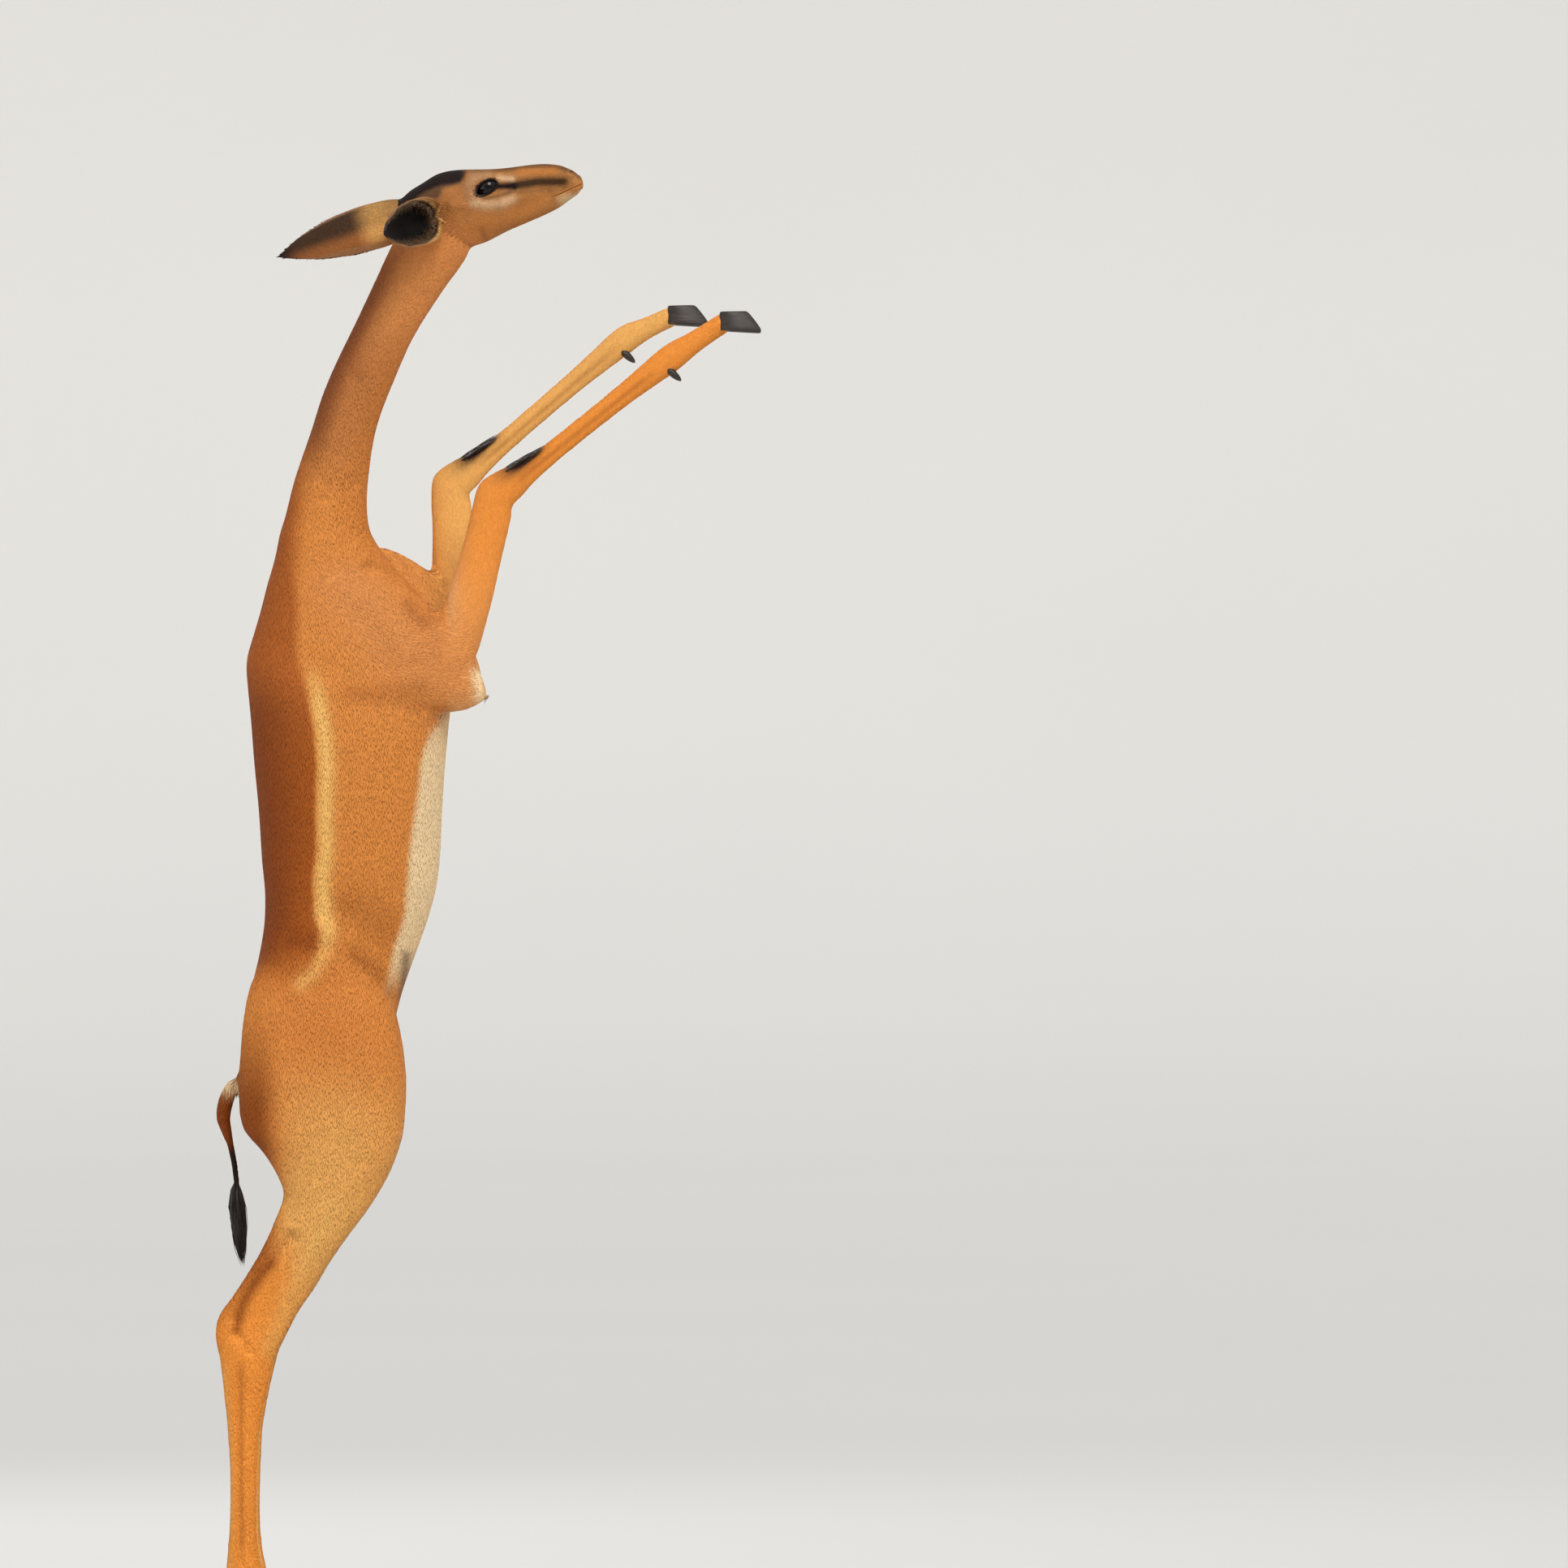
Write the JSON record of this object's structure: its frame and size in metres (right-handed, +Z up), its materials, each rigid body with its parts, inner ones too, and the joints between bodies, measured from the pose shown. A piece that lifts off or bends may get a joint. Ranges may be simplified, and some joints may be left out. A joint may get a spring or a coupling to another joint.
{
  "type": "gerenuk",
  "caption": "Life-size gerenuk hen standing upright on her hind legs, forelegs and long neck raised to browse, on a flat rounded base",
  "frame": {"origin": "centre of the bounding box in X and Y, on the underside of the base (Z = 0)", "axes": "+Z up, +X the way the animal faces, +Y her left side"},
  "size_m": [0.8844, 0.43, 1.9676],
  "materials": {
    "coat_body": "short smooth red-brown coat with a dark saddle and a white belly",
    "coat_head": "very short coat, dark crown, pale ring round the eye",
    "coat_ear": "thin short-haired ear, dark rim, pale hair in the cup",
    "coat_leg": "short orange-tan coat, paler on the inner sides",
    "hair_dark": "long soft black-brown hair",
    "hoof": "dark horn with a dull polish",
    "eye": "wet dark eye with a level pupil",
    "base": "oiled dark wood with a satin sheen"
  },
  "bodies": {
    "root": {"ear_left": "coat_ear", "ear_right": "coat_ear", "eye_left": "eye", "eye_right": "eye", "fore_cannon_left": "coat_leg", "fore_cannon_right": "coat_leg", "fore_claw_left_inner": "hoof", "fore_claw_left_outer": "hoof", "fore_claw_right_inner": "hoof", "fore_claw_right_outer": "hoof", "fore_dewclaw_left_inner": "hoof", "fore_dewclaw_left_outer": "hoof", "fore_dewclaw_right_inner": "hoof", "fore_dewclaw_right_outer": "hoof", "fore_pastern_left": "coat_leg", "fore_pastern_right": "coat_leg", "forearm_left": "coat_leg", "forearm_right": "coat_leg", "head": "coat_head", "hind_cannon_left": "coat_leg", "hind_cannon_right": "coat_leg", "hind_claw_left_inner": "hoof", "hind_claw_left_outer": "hoof", "hind_claw_right_inner": "hoof", "hind_claw_right_outer": "hoof", "hind_dewclaw_left_inner": "hoof", "hind_dewclaw_left_outer": "hoof", "hind_dewclaw_right_inner": "hoof", "hind_dewclaw_right_outer": "hoof", "hind_pastern_left": "coat_leg", "hind_pastern_right": "coat_leg", "neck": "coat_body", "shank_left": "coat_leg", "shank_right": "coat_leg", "stand_base": "base", "tail": "coat_body", "tail_tuft": "hair_dark", "thigh_left": "coat_body", "thigh_right": "coat_body", "torso": "coat_body", "upper_arm_left": "coat_body", "upper_arm_right": "coat_body"}
  },
  "joints": []
}
